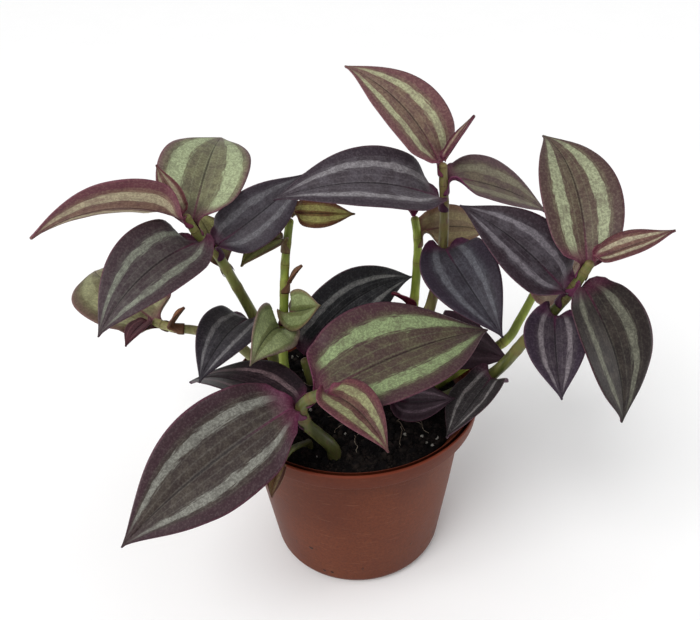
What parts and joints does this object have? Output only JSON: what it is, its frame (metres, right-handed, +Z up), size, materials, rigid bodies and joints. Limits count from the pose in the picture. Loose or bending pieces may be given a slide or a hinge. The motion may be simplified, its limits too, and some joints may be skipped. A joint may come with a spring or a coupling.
{
  "type": "potted tradescantia",
  "caption": "Clump of trailing tradescantia with striped clasping leaves on jointed stems, growing from soil in a small round plastic nursery pot.",
  "frame": {"origin": "centre of the pot's flat underside", "axes": "+Z up along the pot's axis; +X to the right across the plant's widest spread; the front of the pot is at -Y"},
  "size_m": [0.1661, 0.1076, 0.1463],
  "materials": {
    "pot": "thin moulded terracotta brown plastic, satin, darker at the collar, dusty and lightly scuffed",
    "soil": "moist near-black peat mix with crumbs, fibres and pale grit",
    "stem": "juicy green stem with purple streaks and tan swollen nodes",
    "leaf_dark": "waxy near-black purple blade with two dull silver bands",
    "leaf_striped": "waxy purple-brown blade with two granular silver-green bands",
    "leaf_young": "young blade with broad light green bands and magenta margins",
    "leaf_olive": "olive underside tinged with purple",
    "leaf_magenta": "furled magenta-purple young leaf",
    "leaf_dry": "dry papery amber-brown sheath"
  },
  "bodies": {
    "root": {"pot": "pot", "soil": "soil", "stem_front": "stem", "stem_rim": "stem", "stem_left_tall": "stem", "stem_left_low": "stem", "stem_back_left": "stem", "stem_back": "stem", "stem_tall": "stem", "stem_right": "stem", "stem_right_back": "stem", "stem_middle": "stem", "stem_centre": "stem", "leaf_front_left": "leaf_striped", "leaf_front_right": "leaf_striped", "leaf_front_young": "leaf_young", "leaf_over_rim": "leaf_olive", "leaf_left_crown": "leaf_young", "leaf_left_reaching": "leaf_young", "leaf_left_bud": "leaf_magenta", "leaf_left_hanging": "leaf_striped", "leaf_left_behind": "leaf_olive", "leaf_left_inner": "leaf_dark", "leaf_left_dark": "leaf_dark", "leaf_low_round": "leaf_olive", "leaf_low_magenta": "leaf_magenta", "leaf_low_amber": "leaf_dry", "leaf_rim_left": "leaf_dark", "leaf_middle_back": "leaf_dark", "leaf_pale_heart": "leaf_young", "leaf_pale_round": "leaf_young", "sheath_dry": "leaf_dry", "leaf_back_left_amber": "leaf_olive", "leaf_back_left_olive": "leaf_olive", "leaf_tall_left": "leaf_dark", "leaf_tall_top": "leaf_young", "leaf_tall_bud": "leaf_young", "leaf_tall_right": "leaf_striped", "leaf_tall_low": "leaf_dark", "leaf_tall_foot": "leaf_dark", "leaf_back_olive": "leaf_olive", "leaf_back_bud": "leaf_magenta", "leaf_back_low": "leaf_magenta", "leaf_right_inner": "leaf_dark", "leaf_right_crown": "leaf_striped", "leaf_right_reaching": "leaf_young", "leaf_right_hanging": "leaf_striped", "leaf_right_heart": "leaf_dark", "leaf_over_right_rim": "leaf_dark", "leaf_right_back_pale": "leaf_olive", "leaf_centre_low": "leaf_dark"}
  },
  "joints": []
}
